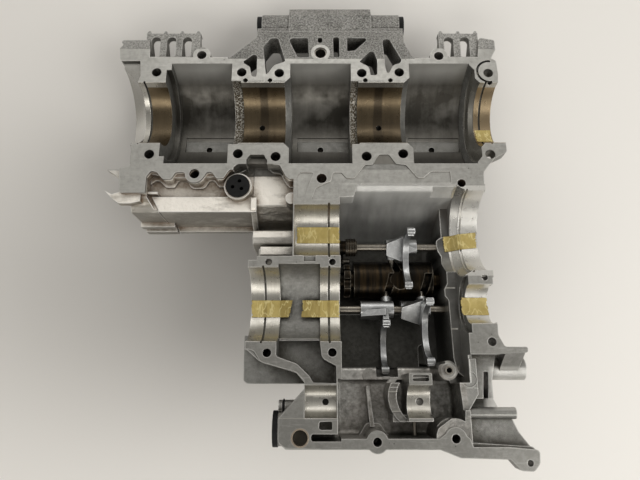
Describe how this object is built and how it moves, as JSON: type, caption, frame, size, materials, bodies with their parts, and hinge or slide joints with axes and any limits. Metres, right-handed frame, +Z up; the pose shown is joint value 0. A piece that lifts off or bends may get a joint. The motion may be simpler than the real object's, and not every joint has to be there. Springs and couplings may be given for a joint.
{
  "type": "lower engine crankcase half",
  "caption": "Lower crankcase of a three-cylinder two-stroke engine, joint face up, with its shift drum, forks and rods.",
  "frame": {"origin": "on the crankshaft's axis in the joint face, in the middle of the middle crank bay, which is the centre of the four bolts round the middle bearings", "axes": "+X along the crankshaft, +Y to the front of the engine, +Z up out of the joint face"},
  "size_m": [0.3655, 0.4288, 0.0991],
  "materials": {
    "case_aluminium": "cast, with machined faces",
    "rod_steel": "ground",
    "fork_steel": "cast, satin",
    "drum_steel": "dark and oily",
    "black_rubber": "matte",
    "masking_tape": "creped, matte",
    "bronze": "worn",
    "copper": "dull copper",
    "zinc_steel": "zinc plated"
  },
  "bodies": {
    "case": {"crankcase_lower": "case_aluminium", "front_fork_rod": "rod_steel", "rear_fork_rod": "rod_steel", "front_mount_sleeve": "rod_steel", "front_bush_left": "black_rubber", "front_bush_right": "black_rubber", "rear_bush": "black_rubber", "spigot_ring": "black_rubber", "cable_grommet": "black_rubber", "rear_dowel": "bronze", "front_dowel": "rod_steel", "plate_bush": "rod_steel", "sump_washer": "copper", "sump_plug": "zinc_steel", "stop_pin": "rod_steel", "tape_crank_right": "masking_tape", "tape_input_left": "masking_tape", "tape_input_right": "masking_tape", "tape_output_outer": "masking_tape", "tape_output_inner": "masking_tape", "tape_output_right": "masking_tape", "drain_washer_left": "copper", "drain_screw_left": "zinc_steel", "drain_washer_middle": "copper", "drain_screw_middle": "zinc_steel", "drain_washer_right": "copper", "drain_screw_right": "zinc_steel"},
    "drum": {"shift_drum": "drum_steel", "drum_star": "drum_steel"},
    "front_fork": {"fork_front": "fork_steel", "fork_front_pin": "rod_steel"},
    "rear_left_fork": {"fork_rear_left": "fork_steel", "fork_rear_left_pin": "rod_steel"},
    "rear_right_fork": {"fork_rear_right": "fork_steel", "fork_rear_right_pin": "rod_steel"},
    "detent": {"detent_arm": "drum_steel", "detent_roller": "rod_steel", "detent_spring": "drum_steel"}
  },
  "joints": [
    {"name": "drum_turn", "type": "hinge", "parent": "case", "child": "drum", "pos_m": [0.0675, -0.1468, -0.058], "axis": [1, 0, 0], "range_deg": [-60, 60]},
    {"name": "front_fork_slide", "type": "slide", "parent": "case", "child": "front_fork", "axis": [1, 0, 0], "range_m": [-0.005, 0.005]},
    {"name": "rear_left_fork_slide", "type": "slide", "parent": "case", "child": "rear_left_fork", "axis": [1, 0, 0], "range_m": [-0.005, 0.005]},
    {"name": "rear_right_fork_slide", "type": "slide", "parent": "case", "child": "rear_right_fork", "axis": [1, 0, 0], "range_m": [-0.005, 0.005]},
    {"name": "detent_swing", "type": "hinge", "parent": "case", "child": "detent", "pos_m": [0.0256, -0.1175, -0.045], "axis": [1, 0, 0], "range_deg": [0, 8], "stiffness_Nm_per_rad": 0.05, "springref_deg": -17.19}
  ],
  "couplings": [
    {"joint": "front_fork_slide", "follows": "drum_turn", "m_per_rad": -0.0047746},
    {"joint": "rear_left_fork_slide", "follows": "drum_turn", "m_per_rad": 0.0047746},
    {"joint": "rear_right_fork_slide", "follows": "drum_turn", "m_per_rad": 0.0047746}
  ]
}
